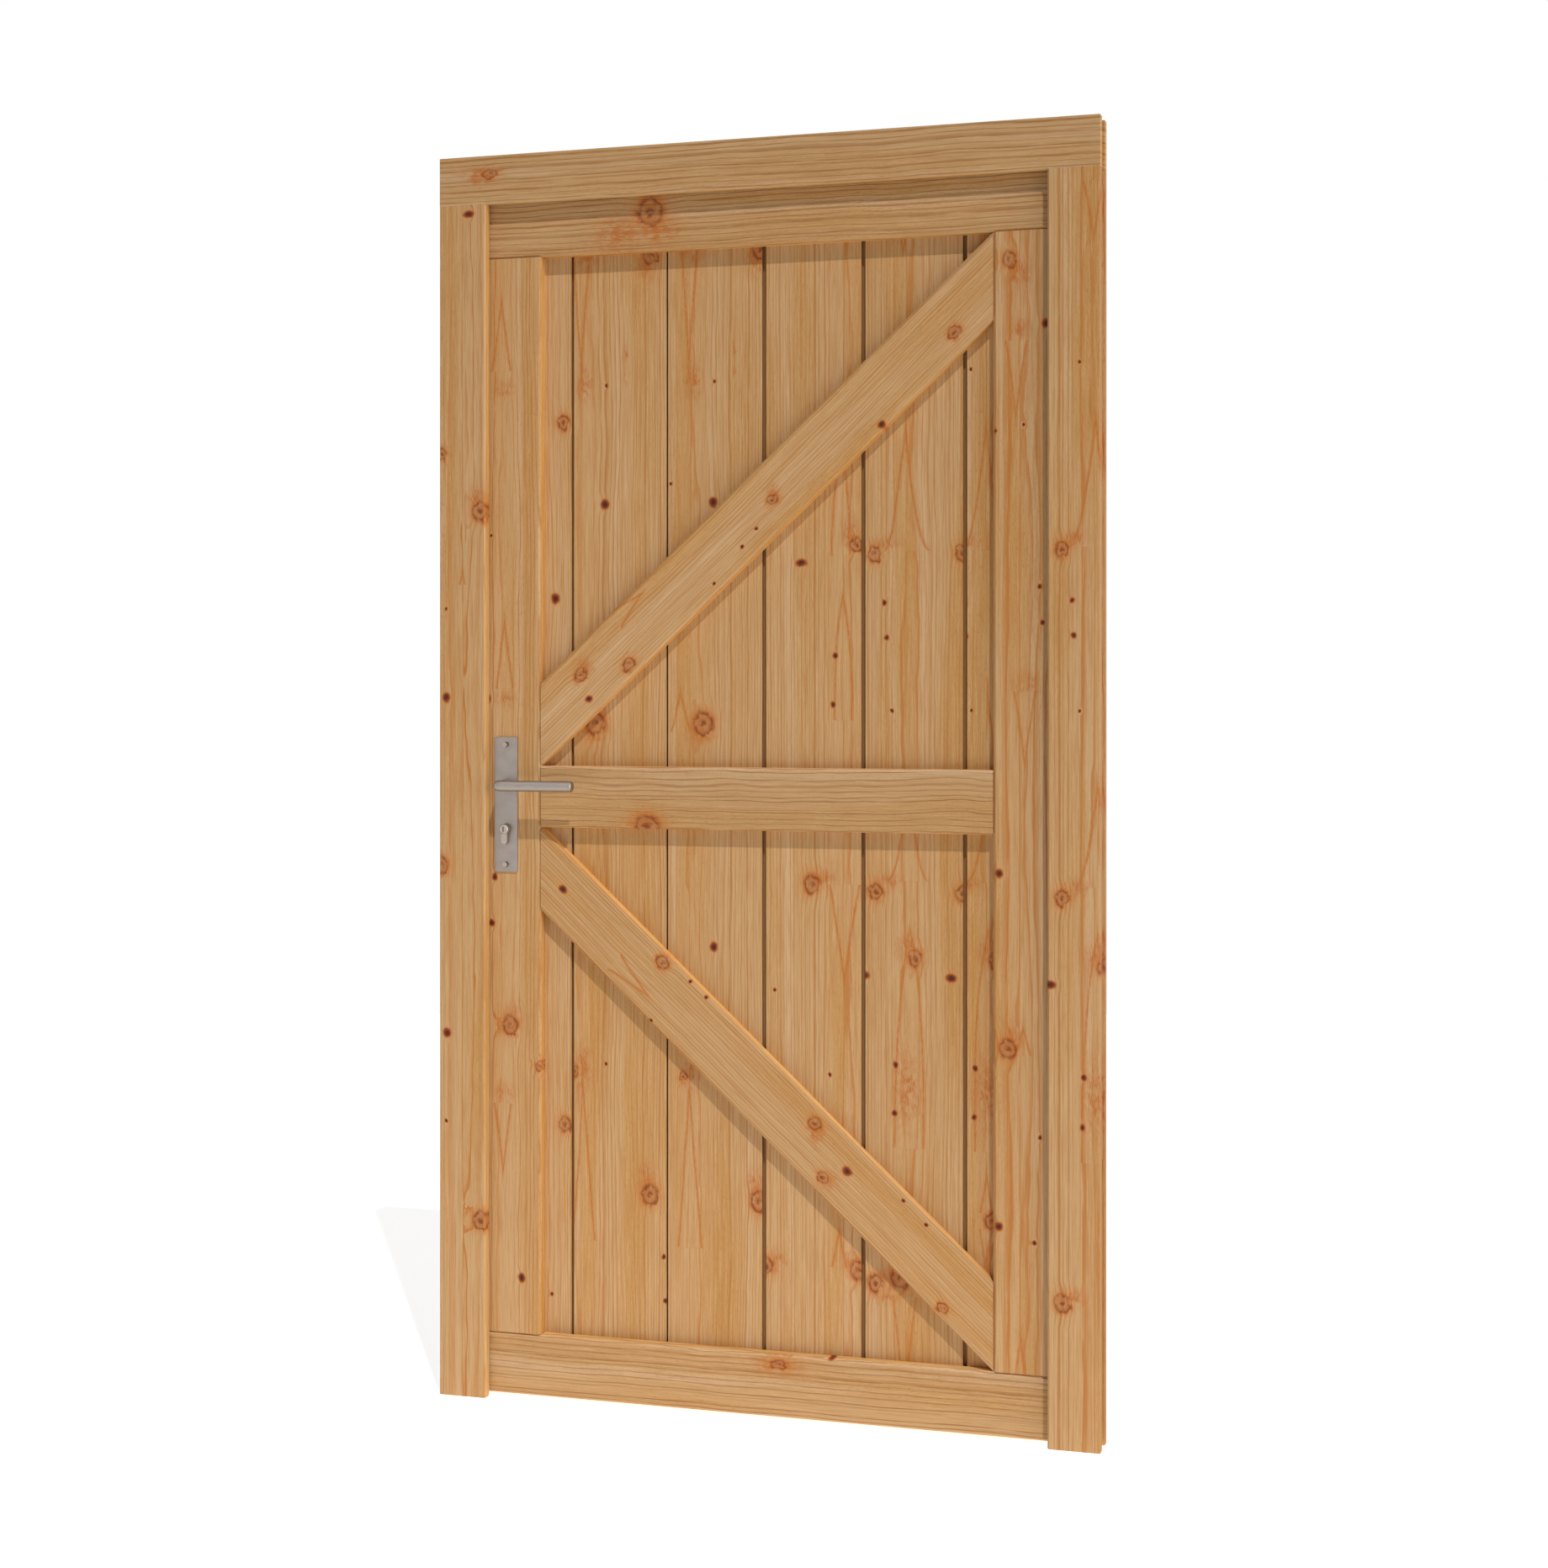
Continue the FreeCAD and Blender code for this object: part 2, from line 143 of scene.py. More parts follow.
# the timber: rings round a heart behind the face, bent by knots, with fibres along the grain
# lengths are in metres, and a scale counts along the grain, into the depth and across
timber = {
    "tone": 1.0,
    "pale": (0.562, 0.353, 0.174),
    "honey": (0.525, 0.290, 0.102),
    "lateWood": (0.47, 0.170, 0.032),
    "fibre": (0.41, 0.180, 0.048),
    "streak": (0.65, 0.425, 0.225),
    "band": (0.65, 0.465, 0.295),
    "halo": (0.50, 0.165, 0.028, 1.0),
    "stain": (0.44, 0.130, 0.022, 1.0),
    "outline": (0.46, 0.150, 0.027, 1.0),
    # dark lines at the members' ends, and the painted shade inside the board grooves
    "jointAndGrooveShade": (0.27, 0.125, 0.042, 1.0),
    # painted light: faces turned sideways, up or down get a brighter, oranger tint as if lit by bounce light,
    # and faces turned up are brightened further as if lit from above
    "paintedSideShading": (1.14, 1.10, 0.83, 1.0),
    "paintedTopLight": (1.35, 1.42, 1.55, 1.0),
    # slow wander of the heart and a small wiggle of every line
    "wander": (0.0, 0.0037, 0.0047),
    "wanderScale": (2.2, 9.0, 9.0),
    "wiggle": (0.0, 0.0007, 0.0007),
    "wiggleScale": (16.0, 70.0, 70.0),
    # growth rings
    "ringGap": 0.0048,
    "ringShape": [(0.00, 0.0), (0.50, 0.05), (0.66, 0.25), (0.80, 1.0), (0.94, 1.0), (1.00, 0.0)],
    "ringSpread": 1.4,
    "ringStrength": (0.34, 0.85),
    "ringRelief": 0.0,
    "ringSeed": 7.0,
    "unevenScale": 0.8,
    "unevenRange": (0.32, 0.68),
    "broken": 1.0,
    "brokenRange": (-0.3, 0.3),
    "heartDepth": 0.058,
    "heartBlend": 0.004,
    "heartStrength": 0.12,
    "heartReach": (0.010, 0.036),
    "lateReach": (0.015, 0.045),
    # long colour zones, pale bands, fibres and short dark pores
    "zoneScale": (1.3, 18.0, 18.0),
    "zoneSeed": 2.0,
    "zoneRange": (0.39, 0.71),
    "heartHoney": 0.18,
    "honeyReach": (0.012, 0.040),
    "bandScale": (0.8, 55.0, 55.0),
    "bandSeed": 5.0,
    "bandRange": (0.60, 0.76),
    "bandStrength": 0.38,
    "fibreScale": (13.0, 430.0, 430.0),
    "fibreRange": (0.45, 0.72),
    "fibreStrength": 0.46,
    "streakRange": (0.46, 0.30),
    "streakStrength": 0.42,
    "poreScale": (120.0, 1000.0, 1000.0),
    "poreRange": (0.55, 0.74),
    "poreStrength": 0.60,
    # knots, patches of stained grain and tongues of plain wood
    "knots": [],
    "deadKnots": [],
    "tongues": [],
    "patches": [],
    "roughScale": (75.0, 90.0, 110.0),
    "knotRough": (0.0046, 0.0, 0.0040),
    "deadRough": (0.0014, 0.0, 0.0012),
    "knotStretch": 1.2,
    "knotSize": 1.12,
    "knotSpread": 2.4,
    "knotRise": 0.0050,
    "deadRise": 0.0022,
    "haloStrength": 0.35,
    "gapRange": (-0.30, 0.10),
    "gapFloor": 0.65,
    "patchSize": 1.3,
    "patchSpread": 1.0,
    "mottleRange": (-0.35, 0.20),
    "mottleFloor": 0.40,
    "tongueOpen": 200.0,
    "tongueCurve": 0.88,
    "tongueRise": 0.0008,
    "tongueBulge": (-0.012, 0.006),
    "tongueRim": (-0.004, 0.001),
    "plainInside": 0.60,
    "dashRange": (0.36, 0.60),
    "dashFloor": 0.35,
    "strokeFloor": 0.58,
    # joints, painted shade in the board grooves, painted light on the sides and tops, and the coat
    "jointLine": 0.0011,
    "jointSharp": 0.3,
    "jointStrength": 0.35,
    "grooveStart": 0.0008,
    "grooveEnd": 0.0026,
    "grooveShadeStrength": 0.9,
    "paintedSideRange": (0.60, 0.30),
    "paintedTopRange": (0.55, 0.75),
    "specular": 0.25,
    "roughness": (0.52, 0.68),
    "roughRange": (0.3, 0.7),
    "fibreRelief": 0.6,
    "bumpStrength": 0.5,
    "bumpDepth": 0.0005,
}
# colours and cover from a knot's middle outwards, by squared radius over rampReach
rampReach = 5.0
knotStops = [
    (0.000, (0.180, 0.042, 0.011, 0.93)),
    (0.015, (0.230, 0.058, 0.015, 0.90)),
    (0.040, (0.420, 0.145, 0.038, 0.80)),
    (0.090, (0.420, 0.140, 0.036, 0.80)),
    (0.130, (0.400, 0.125, 0.028, 0.85)),
    (0.170, (0.225, 0.054, 0.012, 0.93)),
    (0.220, (0.245, 0.060, 0.013, 0.91)),
    (0.290, (0.430, 0.125, 0.022, 0.80)),
    (0.440, (0.490, 0.170, 0.030, 0.35)),
    (0.800, (0.520, 0.210, 0.045, 0.00)),
]
deadStops = [
    (0.000, (0.060, 0.014, 0.006, 1.00)),
    (0.040, (0.075, 0.018, 0.006, 1.00)),
    (0.080, (0.210, 0.038, 0.010, 1.00)),
    (0.170, (0.280, 0.058, 0.012, 0.95)),
    (0.240, (0.450, 0.125, 0.022, 0.65)),
    (0.420, (0.500, 0.170, 0.032, 0.00)),
]
# a tongue's soft dark edge, from tongueReach inside its outline to as far outside
tongueReach = 0.005
tongueStops = [
    (0.00, 0.0), (0.24, 0.25), (0.40, 0.90), (0.50, 1.0), (0.58, 0.70), (0.72, 0.25), (0.95, 0.0),
]
farOff = 9.0  # the most that is measured: squared radii from a knot, metres from a tongue


def greys(stops):
    return [(at, (grey, grey, grey, 1.0)) for at, grey in stops]


def toned(colour, tone):
    return (colour[0] * tone, colour[1] * tone, colour[2] * tone, 1.0)


def fromSpot(tree, place, along, across, reach, wide):
    scale = (1.0 / reach, 0.0, 1.0 / wide)
    return vectorNode(tree, "MULTIPLY_ADD", place, scale, (-along / reach, 0.0, -across / wide))


def nearestOf(tree, place, spots, grown=1.0):
    nearest = farOff
    for along, across, radius, *stretch in spots:
        wide = radius * grown
        reach = wide * (stretch[0] if stretch else timber["knotStretch"])
        off = fromSpot(tree, place, along, across, reach, wide)
        nearest = mathNode(tree, "MINIMUM", nearest, vectorNode(tree, "DOT_PRODUCT", off, off))
    return nearest  # in squared radii


def nearestTongue(tree, place, spots, openness):
    nearest = farOff
    for along, across, wide, stretch, *curve in spots:  # pointed along the grain, or back with a minus
        off = fromSpot(tree, place, along, across, wide * stretch, wide)
        folded = vectorNode(tree, "MAXIMUM", off, vectorNode(tree, "MULTIPLY", off, (-openness, 0.0, -1.0)))
        bend = curve[0] if curve else timber["tongueCurve"]
        flank = vectorNode(tree, "POWER", folded, (bend, 1.0, 1.0))
        sideways = vectorNode(tree, "DOT_PRODUCT", flank, (wide, 0.0, wide))
        nearest = mathNode(tree, "MINIMUM", nearest, mathNode(tree, "SUBTRACT", sideways, wide))
    return nearest  # in metres, less than nothing inside


def haloOf(tree, near, spread):
    return mathNode(tree, "POWER", math.exp(-1.0 / spread ** 2), near)


def bendGrain(tree, look, place):
    seed = look["seed"]
    slow = noiseNode(tree, stretched(tree, place, look["wanderScale"], seed), detail=1.0, signed=True)
    fine = noiseNode(tree, stretched(tree, place, look["wiggleScale"], seed), detail=1.0, signed=True)
    bent = vectorNode(tree, "MULTIPLY_ADD", slow, look["wander"], place)
    bent = vectorNode(tree, "MULTIPLY_ADD", fine, look["wiggle"], bent)
    return bent, fine


def layFigures(tree, look, place, bent):
    seed = look["seed"]
    rough = noiseNode(tree, stretched(tree, place, look["roughScale"], seed), detail=2.0, signed=True)
    ragged = vectorNode(tree, "MULTIPLY_ADD", rough, look["knotRough"], place)
    frayed = vectorNode(tree, "MULTIPLY_ADD", rough, look["deadRough"], place)
    knot = nearestOf(tree, ragged, look["knots"], look["knotSize"])
    return {
        "rough": rough,
        "knot": knot,
        "knotHalo": haloOf(tree, knot, look["knotSpread"]),
        "dead": nearestOf(tree, frayed, look["deadKnots"]),
        "patch": nearestOf(tree, ragged, look["patches"], look["patchSize"]),
        "tongue": nearestTongue(tree, bent, look["tongues"], look["tongueOpen"]),
    }


def growRings(tree, look, bent, fine, figures):
    middle = (0.0, -look["faceDepth"] - look["heartDepth"], -look["heart"])
    fromHeart = vectorNode(tree, "MULTIPLY_ADD", bent, (0.0, 1.0, 1.0), middle)
    across = splitNode(tree, fromHeart)[2]
    fromMiddle = mathNode(tree, "ABSOLUTE", across)

    # knots and tongues bend the rings
    side = rangeNode(tree, across, -look["heartBlend"], look["heartBlend"], -1.0, 1.0)
    deadHalo = haloOf(tree, figures["dead"], look["knotSpread"])
    push = mathNode(tree, "MULTIPLY", figures["knotHalo"], look["knotRise"])
    push = mathNode(tree, "MULTIPLY_ADD", deadHalo, look["deadRise"], push)
    rings = mathNode(tree, "MULTIPLY_ADD", push, side, vectorNode(tree, "LENGTH", fromHeart))
    bulge = rangeNode(tree, figures["tongue"], *look["tongueBulge"], 1.0, 0.0)
    rings = mathNode(tree, "MULTIPLY_ADD", bulge, -look["tongueRise"], rings)

    # uneven years, some of them stronger
    count = mathNode(tree, "MULTIPLY_ADD", rings, 1.0 / look["ringGap"], look["seed"] * look["ringSeed"])
    years = tree.nodes.new("ShaderNodeTexNoise")
    years.noise_dimensions = "1D"
    years.inputs["Scale"].default_value = look["unevenScale"]
    years.inputs["Detail"].default_value = 1.0
    tree.links.new(count, years.inputs["W"])
    uneven = years.outputs["Fac"]
    phase = mathNode(tree, "FRACT", mathNode(tree, "MULTIPLY_ADD", uneven, look["ringSpread"], count))
    late = rampNode(tree, phase, greys(look["ringShape"]))
    nearHeart = rangeNode(tree, fromMiddle, *look["heartReach"], look["heartStrength"], 0.0)
    inTongue = rangeNode(tree, figures["tongue"], *look["tongueRim"], look["plainInside"], 1.0)
    gaps = rangeNode(tree, fine, *look["brokenRange"], look["broken"], 1.0)
    strength = rangeNode(tree, uneven, *look["unevenRange"], *look["ringStrength"])
    strength = mathNode(tree, "ADD", strength, nearHeart)
    strength = mathNode(tree, "MULTIPLY", strength, inTongue)
    strength = mathNode(tree, "MULTIPLY", strength, gaps)
    return mathNode(tree, "MULTIPLY", late.outputs["Color"], strength), fromMiddle


def paintGrain(tree, look, place, bent, lateAmount, fromMiddle):
    shades = ("pale", "honey", "lateWood", "fibre", "streak", "band")
    tones = [toned(look[shade], look["tone"]) for shade in shades]
    pale, honey, lateWood, fibreDark, streakPale, bandPale = tones
    seed = look["seed"]
    zone = noiseNode(tree, stretched(tree, bent, look["zoneScale"], seed + look["zoneSeed"]), detail=2.0)
    band = noiseNode(tree, stretched(tree, bent, look["bandScale"], seed + look["bandSeed"]), detail=0.0)
    fibre = noiseNode(tree, stretched(tree, place, look["fibreScale"], seed), detail=2.0, roughness=0.65)
    pore = noiseNode(tree, stretched(tree, place, look["poreScale"], seed), detail=1.0)
    nearHeart = rangeNode(tree, fromMiddle, *look["honeyReach"], look["heartHoney"], 0.0)
    zoneAmount = mathNode(tree, "ADD", rangeNode(tree, zone, *look["zoneRange"]), nearHeart)
    poreAmount = rangeNode(tree, pore, *look["poreRange"], 0.0, look["poreStrength"])
    lateColour = mixNode(tree, rangeNode(tree, fromMiddle, *look["lateReach"]), lateWood, fibreDark)
    colour = pale
    for amount, shade in (
        (zoneAmount, honey),
        (rangeNode(tree, band, *look["bandRange"], 0.0, look["bandStrength"]), bandPale),
        (lateAmount, lateColour),
        (rangeNode(tree, fibre, *look["fibreRange"], 0.0, look["fibreStrength"]), fibreDark),
        (rangeNode(tree, fibre, *look["streakRange"], 0.0, look["streakStrength"]), streakPale),
        (mathNode(tree, "MULTIPLY", poreAmount, zoneAmount), fibreDark),
    ):
        colour = mixNode(tree, amount, colour, shade)
    return colour, fibre, pore, poreAmount


def paintFigures(tree, look, colour, figures, pore):
    dashes = rangeNode(tree, pore, *look["dashRange"], look["dashFloor"], 1.0)
    if look["tongues"]:
        strokes = rangeNode(tree, pore, *look["dashRange"], look["strokeFloor"], 1.0)
        fromLine = mathNode(tree, "MULTIPLY_ADD", figures["tongue"], 0.5 / tongueReach, 0.5)
        line = rampNode(tree, fromLine, greys(tongueStops))
        drawn = mathNode(tree, "MULTIPLY", line.outputs["Color"], strokes)
        colour = mixNode(tree, drawn, colour, look["outline"])
    glow = mathNode(tree, "MULTIPLY", figures["knotHalo"], look["haloStrength"])
    colour = mixNode(tree, mathNode(tree, "MULTIPLY", glow, dashes), colour, look["halo"])
    if look["patches"]:
        mottled = rangeNode(tree, figures["rough"], *look["mottleRange"], look["mottleFloor"], 1.0)
        patchHalo = haloOf(tree, figures["patch"], look["patchSpread"])
        stained = mathNode(tree, "MULTIPLY", mathNode(tree, "MULTIPLY", patchHalo, mottled), dashes)
        colour = mixNode(tree, stained, colour, look["stain"])
    brokenRings = rangeNode(tree, figures["rough"], *look["gapRange"], look["gapFloor"], 1.0)
    for kind, near, stops, gaps in (
        ("knots", figures["knot"], knotStops, brokenRings),
        ("deadKnots", figures["dead"], deadStops, 1.0),
    ):
        if look[kind]:
            ramp = rampNode(tree, mathNode(tree, "MULTIPLY", near, 1.0 / rampReach), stops)
            cover = mathNode(tree, "MULTIPLY", ramp.outputs["Alpha"], gaps)
            colour = mixNode(tree, cover, colour, ramp.outputs["Color"])
    return colour


def paintJointsAndShading(tree, look, colour, place):
    spot = splitNode(tree, place)
    if "ends" in look:  # a dark line where the member butts against its neighbours
        low, high = look["ends"]
        half = (high - low) / 2.0
        fromCentre = mathNode(tree, "ABSOLUTE", mathNode(tree, "SUBTRACT", spot[0], low + half))
        start = half - look["jointLine"]
        full = half - look["jointSharp"] * look["jointLine"]
        line = rangeNode(tree, fromCentre, start, full, 0.0, look["jointStrength"])
        colour = mixNode(tree, line, colour, look["jointAndGrooveShade"])
    if "thickness" in look:  # painted shade: the sides of a board are darkened inside its groove joint, where shade falls
        half = look["thickness"] / 2.0
        middle = look["faceDepth"] + half
        fromCentre = mathNode(tree, "ABSOLUTE", mathNode(tree, "SUBTRACT", spot[1], middle))
        start = half - look["grooveStart"]
        full = half - look["grooveEnd"]
        line = rangeNode(tree, fromCentre, start, full, 0.0, look["grooveShadeStrength"])
        return mixNode(tree, line, colour, look["jointAndGrooveShade"])

    # painted light: faces turned away from the front are tinted brighter and oranger as if lit by bounce
    # light, and faces turned up are brightened as if lit from above
    geometry = tree.nodes.new("ShaderNodeNewGeometry")
    own = tree.nodes.new("ShaderNodeVectorTransform")  # so that the tint swings with the leaf
    own.vector_type = "NORMAL"
    own.convert_from = "WORLD"
    own.convert_to = "OBJECT"
    tree.links.new(geometry.outputs["True Normal"], own.inputs[0])
    facing = splitNode(tree, own.outputs[0])
    edge = rangeNode(tree, mathNode(tree, "ABSOLUTE", facing[1]), *look["paintedSideRange"])
    top = rangeNode(tree, facing[2], *look["paintedTopRange"])
    colour = mixNode(tree, edge, colour, look["paintedSideShading"], "MULTIPLY")
    return mixNode(tree, top, colour, look["paintedTopLight"], "MULTIPLY")


def timberMaterial(name, member):
    look = {**timber, **member}
    material = bpy.data.materials.new(name)
    material.use_nodes = True
    tree = material.node_tree
    place = objectPlace(tree, look["turn"], look["corner"])
    bent, fine = bendGrain(tree, look, place)
    figures = layFigures(tree, look, place, bent)
    lateAmount, fromMiddle = growRings(tree, look, bent, fine, figures)
    colour, fibre, pore, poreAmount = paintGrain(tree, look, place, bent, lateAmount, fromMiddle)
    colour = paintFigures(tree, look, colour, figures, pore)
    colour = paintJointsAndShading(tree, look, colour, place)

    shader = tree.nodes["Principled BSDF"]
    smooth, coarse = look["roughness"]
    tree.links.new(colour, shader.inputs["Base Color"])
    shader.inputs["Specular IOR Level"].default_value = look["specular"]
    coat = rangeNode(tree, fibre, *look["roughRange"], coarse, smooth)
    tree.links.new(coat, shader.inputs["Roughness"])
    relief = mathNode(tree, "SUBTRACT", mathNode(tree, "MULTIPLY", fibre, look["fibreRelief"]), poreAmount)
    if look["ringRelief"]:
        relief = mathNode(tree, "MULTIPLY_ADD", lateAmount, -look["ringRelief"], relief)
    addBump(tree, shader, relief, look["bumpStrength"], look["bumpDepth"])
    return material


def dress(nodeName, material):
    mesh = frame["nodes"][nodeName].data
    mesh.materials.clear()
    mesh.materials.append(material)


# figures: height above the floor, distance from the left edge, half width, stretch along the grain,
# and for some tongues the curve of their sides; two runs of stock give several members theirs
figureKinds = ("knots", "deadKnots", "tongues", "patches")
runA = {
    "turns": (0,),
    "heart": 0.015,
    "knots": [(1.860, 0.133, 0.0105), (1.103, 0.037, 0.0130), (0.341, 0.131, 0.0115), (0.535, 0.002, 0.0055)],
    "deadKnots": [
        (1.459, 0.054, 0.0068), (0.745, 0.055, 0.0062),
        (1.653, 0.056, 0.0026), (0.549, 0.056, 0.0024), (1.490, -0.018, 0.0024),
    ],
    "tongues": [(1.900, 0.014, 0.0180, -12.4), (0.260, 0.014, 0.0210, 12.3), (1.090, -0.001, 0.0160, 4.0)],
    "patches": [
        (1.865, 0.020, 0.0150, 1.2), (1.845, 0.126, 0.0130, 1.5), (1.655, 0.018, 0.0100, 2.2),
        (1.092, 0.030, 0.0150, 1.0), (0.545, 0.016, 0.0110, 2.5), (0.370, 0.124, 0.0110, 1.6),
        (1.705, 0.089, 0.0026, 4.0), (1.668, 0.089, 0.0018, 6.0),
    ],
}
runB = {
    "turns": (-1, 0, 1),
    "heart": 0.066,
    "knots": [(1.371, 0.015, 0.0085), (0.840, 0.016, 0.0088), (0.736, 0.081, 0.0088), (0.224, 0.016, 0.0095)],
    "deadKnots": [
        (0.708, 0.138, 0.0085, 0.7), (1.294, 0.031, 0.0038), (1.240, 0.034, 0.0038), (1.125, 0.043, 0.0024),
        (0.569, 0.049, 0.0040), (0.493, 0.047, 0.0040), (1.656, 0.042, 0.0024),
    ],
    "tongues": [
        (1.375, 0.066, 0.0380, 5.2, 0.50), (0.858, 0.068, 0.0340, 4.6, 0.50),
        (0.440, 0.070, 0.0230, 15.0, 3.0), (1.930, 0.062, 0.0150, -6.0),
    ],
    "patches": [
        (1.389, 0.034, 0.0150, 0.5), (0.857, 0.036, 0.0150, 0.6), (0.752, 0.070, 0.0150, 0.9),
        (0.236, 0.034, 0.0130, 0.7), (0.535, 0.068, 0.0150, 3.0),
    ],
}
runWidth = 0.140  # run B comes round again after this width
edgeMargin = 0.010  # a figure this far past the edge still shows


def repeated(entries, turns, shift, width):
    found = []
    for along, across, *rest in entries:
        for turn in turns:
            place = across + shift + turn * runWidth
            if -edgeMargin < place < width + edgeMargin:
                found.append((along, place, *rest))
    return found


uprights = {
    "lock_jamb": {
        "seed": 1.0,
        "heart": 0.040,
        "heartHoney": 0.0,
        "tone": 0.955,
        "knots": [
            (1.450, 0.071, 0.0105), (0.290, 0.072, 0.0105), (1.545, 0.003, 0.0070), (0.870, 0.003, 0.0095),
        ],
        "deadKnots": [
            (1.937, 0.051, 0.0095, 0.6), (1.145, 0.012, 0.0065), (0.595, 0.013, 0.0065),
            (1.290, 0.012, 0.0024), (0.450, 0.012, 0.0024),
        ],
        "tongues": [(1.330, 0.039, 0.0050, 4.5)],
        "patches": [(1.470, 0.066, 0.0100, 1.5)],
    },
    "hinge_jamb": {
        "seed": 2.0,
        "run": runB,
        "shift": 0.007,
        "tone": 0.945,
        # painted shade: on the hinge jamb the side tint darkens its sides, tops and undersides instead of
        # lighting them
        "paintedSideShading": (0.84, 0.74, 0.52, 1.0),
    },
    "lock_stile": {
        "seed": 3.0,
        "tone": 0.98,
        "heartHoney": 0.0,
        "heart": 0.034,
        "knots": [(0.608, 0.046, 0.0105), (0.543, 0.098, 0.0055)],
        "deadKnots": [
            (1.143, 0.007, 0.0055), (0.851, 0.019, 0.0048), (0.775, 0.014, 0.0048), (1.411, 0.013, 0.0024),
            (0.196, 0.067, 0.0058),
        ],
        "tongues": [(1.680, 0.032, 0.0165, 7.0), (1.160, 0.037, 0.0150, 7.4), (0.480, 0.032, 0.0150, -7.4)],
        "patches": [
            (1.652, 0.036, 0.0120, 0.8), (1.143, 0.040, 0.0120, 0.8),
            (0.500, 0.034, 0.0120, 0.8), (0.625, 0.050, 0.0120, 1.2),
        ],
    },
    "hinge_stile": {
        "seed": 4.0,
        "tone": 0.965,
        "heart": 0.042,
        "knots": [(1.820, 0.026, 0.0085), (0.605, 0.023, 0.0105)],
        "deadKnots": [
            (1.720, 0.082, 0.0060), (0.875, 0.009, 0.0056), (0.330, 0.009, 0.0060), (1.565, 0.048, 0.0024),
            (1.557, 0.004, 0.0024), (1.316, 0.073, 0.0034), (1.261, 0.077, 0.0034), (0.471, 0.073, 0.0030),
            (0.308, 0.065, 0.0030),
        ],
        "tongues": [
            (1.695, 0.038, 0.0160, -7.5), (1.155, 0.050, 0.0180, -6.4), (0.050, 0.044, 0.0160, 7.0),
            (0.595, 0.046, 0.0120, 3.5),
        ],
        "patches": [
            (1.800, 0.040, 0.0150, 1.2), (1.170, 0.050, 0.0160, 0.7),
            (0.625, 0.030, 0.0130, 1.2), (1.715, 0.040, 0.0130, 0.8),
        ],
    },
    "board_1": {
        "seed": 5.0,
        "heart": 0.060,
        "knots": [(1.595, 0.132, 0.0083), (0.447, 0.135, 0.0083)],
        "deadKnots": [(1.307, 0.118, 0.0070), (0.168, 0.112, 0.0026)],
    },
    "board_2": {
        "seed": 6.0,
        "run": runA,
        "shift": 0.0,
        "deadKnots": [(0.242, 0.155, 0.0036), (0.171, 0.158, 0.0036)],
    },
    "board_3": {"seed": 7.0, "run": runA, "shift": 0.0225, "tone": 0.975},
    "board_4": {
        "seed": 8.0,
        "tone": 0.98,
        "heart": 0.128,
        "knots": [
            (1.387, 0.148, 0.0080), (0.849, 0.076, 0.0107), (0.239, -0.001, 0.0095), (0.242, 0.152, 0.0105),
        ],
        "deadKnots": [
            (1.359, 0.058, 0.0090, 0.65), (1.212, 0.114, 0.0040), (1.134, 0.111, 0.0040),
            (0.680, 0.014, 0.0026), (0.549, 0.105, 0.0026),
        ],
        "tongues": [
            (1.110, 0.127, 0.0140, 14.0, 3.0), (1.370, 0.124, 0.0160, 12.0, 1.6),
            (0.850, 0.131, 0.0240, -6.4), (0.245, 0.121, 0.0120, 5.0),
        ],
        "patches": [
            (1.405, 0.138, 0.0110, 1.6), (0.862, 0.092, 0.0150, 0.8),
            (0.250, 0.018, 0.0110, 1.2), (0.255, 0.140, 0.0110, 1.2),
        ],
    },
    "board_5": {
        "seed": 9.0,
        "run": runB,
        "shift": 0.0,
        "tone": 0.955,
        "knots": [(0.236, 0.056, 0.0125)],
        "tongues": [(0.207, 0.065, 0.0200, -8.7)],
        "patches": [(0.206, 0.034, 0.0110, 1.0)],
    },
    "board_6": {
        "seed": 10.0,
        "run": runB,
        "shift": -0.036,
        "tone": 0.98,
        "knots": [(0.333, 0.039, 0.0095)],
        "tongues": [(0.345, 0.030, 0.0100, 6.0), (0.320, 0.030, 0.0100, -6.0)],
    },
}
for name, member in uprights.items():
    low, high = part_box(name)
    figure = dict(member)
    if "run" in member:
        run, shift = member["run"], member["shift"]
        figure["heart"] = run["heart"] + shift
        for kind in figureKinds:
            figure[kind] = repeated(run[kind], run["turns"], shift, high.x - low.x) + member.get(kind, [])
    for kind in figureKinds:  # turned upright, the pattern's across runs to the left
        figure[kind] = [(along, -across, *rest) for along, across, *rest in figure.get(kind, [])]
    figure["heart"] = -figure["heart"]
    figure.update(turn=90.0, corner=(low.x, 0.0, 0.0), faceDepth=low.y)
    if "stile" in name:
        figure["ends"] = (low.z, high.z)
    if "board" in name:
        figure["thickness"] = high.y - low.y
    dress(name, timberMaterial("timber_" + name, figure))
print("uprights dressed")

# rails and head: along from the left end, across from the lower edge, with coarse wavy grain
railGrain = {
    "ringGap": 0.0085,
    "ringShape": [(0.00, 0.0), (0.55, 0.0), (0.72, 0.15), (0.81, 1.0), (0.93, 1.0), (1.00, 0.0)],
    "ringSpread": 1.2,
    "ringStrength": (0.50, 0.85),
    "ringRelief": 3.5,
    "broken": 0.75,
    "heartStrength": 0.0,
    "fibre": (0.32, 0.140, 0.042),
    "fibreStrength": 0.30,
    "wander": (0.0, 0.0037, 0.0050),
    "wanderScale": (5.0, 9.0, 9.0),
    "wiggle": (0.0, 0.0016, 0.0016),
    "wiggleScale": (17.0, 45.0, 45.0),
    "zoneRange": (0.20, 0.90),
    "heartHoney": 0.0,
    "tone": 0.94,
}
